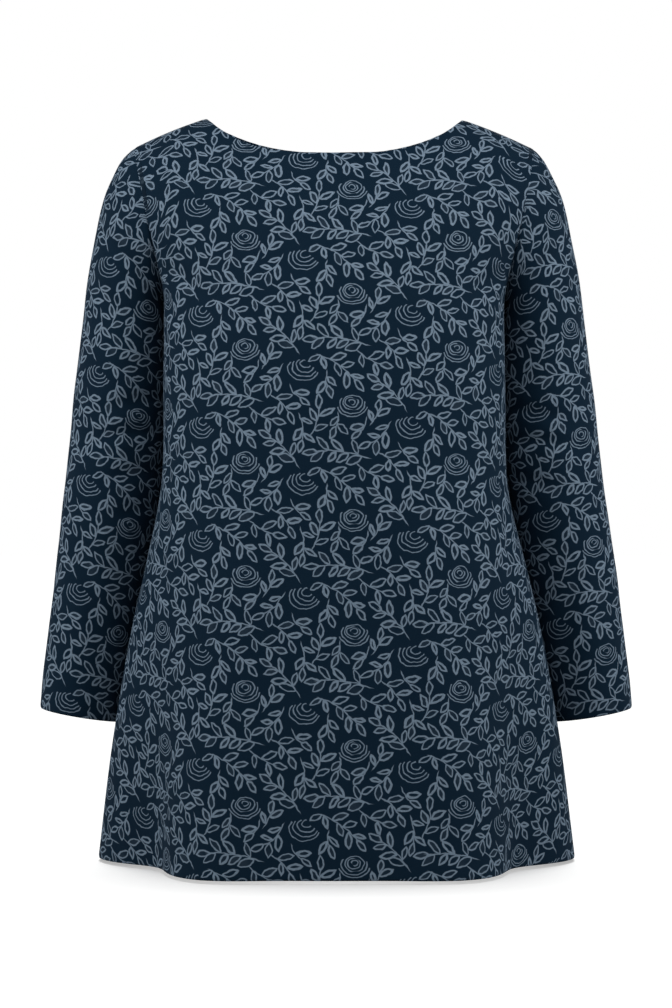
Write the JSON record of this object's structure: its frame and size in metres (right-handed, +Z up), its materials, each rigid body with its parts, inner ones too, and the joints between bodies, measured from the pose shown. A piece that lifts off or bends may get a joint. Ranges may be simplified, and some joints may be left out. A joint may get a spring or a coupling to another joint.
{
  "type": "tunic top",
  "caption": "Long-sleeved A-line tunic top with a wide boat neck, set-in sleeves and a flared, softly folded hem, in dark navy cloth with a line-drawn rose and leaf print, hollow as when worn.",
  "frame": {"origin": "midway between the two neck points of the shoulder seams, where a wearer's shoulders hold the garment", "axes": "+Z up, the front faces -Y, +X is the wearer's left"},
  "size_m": [0.6306, 0.3104, 0.7749],
  "materials": {
    "front_cloth": "matt printed light woven cloth, navy ground with blue-grey line print",
    "back_cloth": "matt printed light woven cloth, navy ground with blue-grey line print",
    "sleeve_left_cloth": "matt printed light woven cloth, navy ground with blue-grey line print",
    "sleeve_right_cloth": "matt printed light woven cloth, navy ground with blue-grey line print"
  },
  "bodies": {
    "root": {"front": "front_cloth", "back": "back_cloth", "sleeve_left": "sleeve_left_cloth", "sleeve_right": "sleeve_right_cloth"}
  },
  "joints": []
}
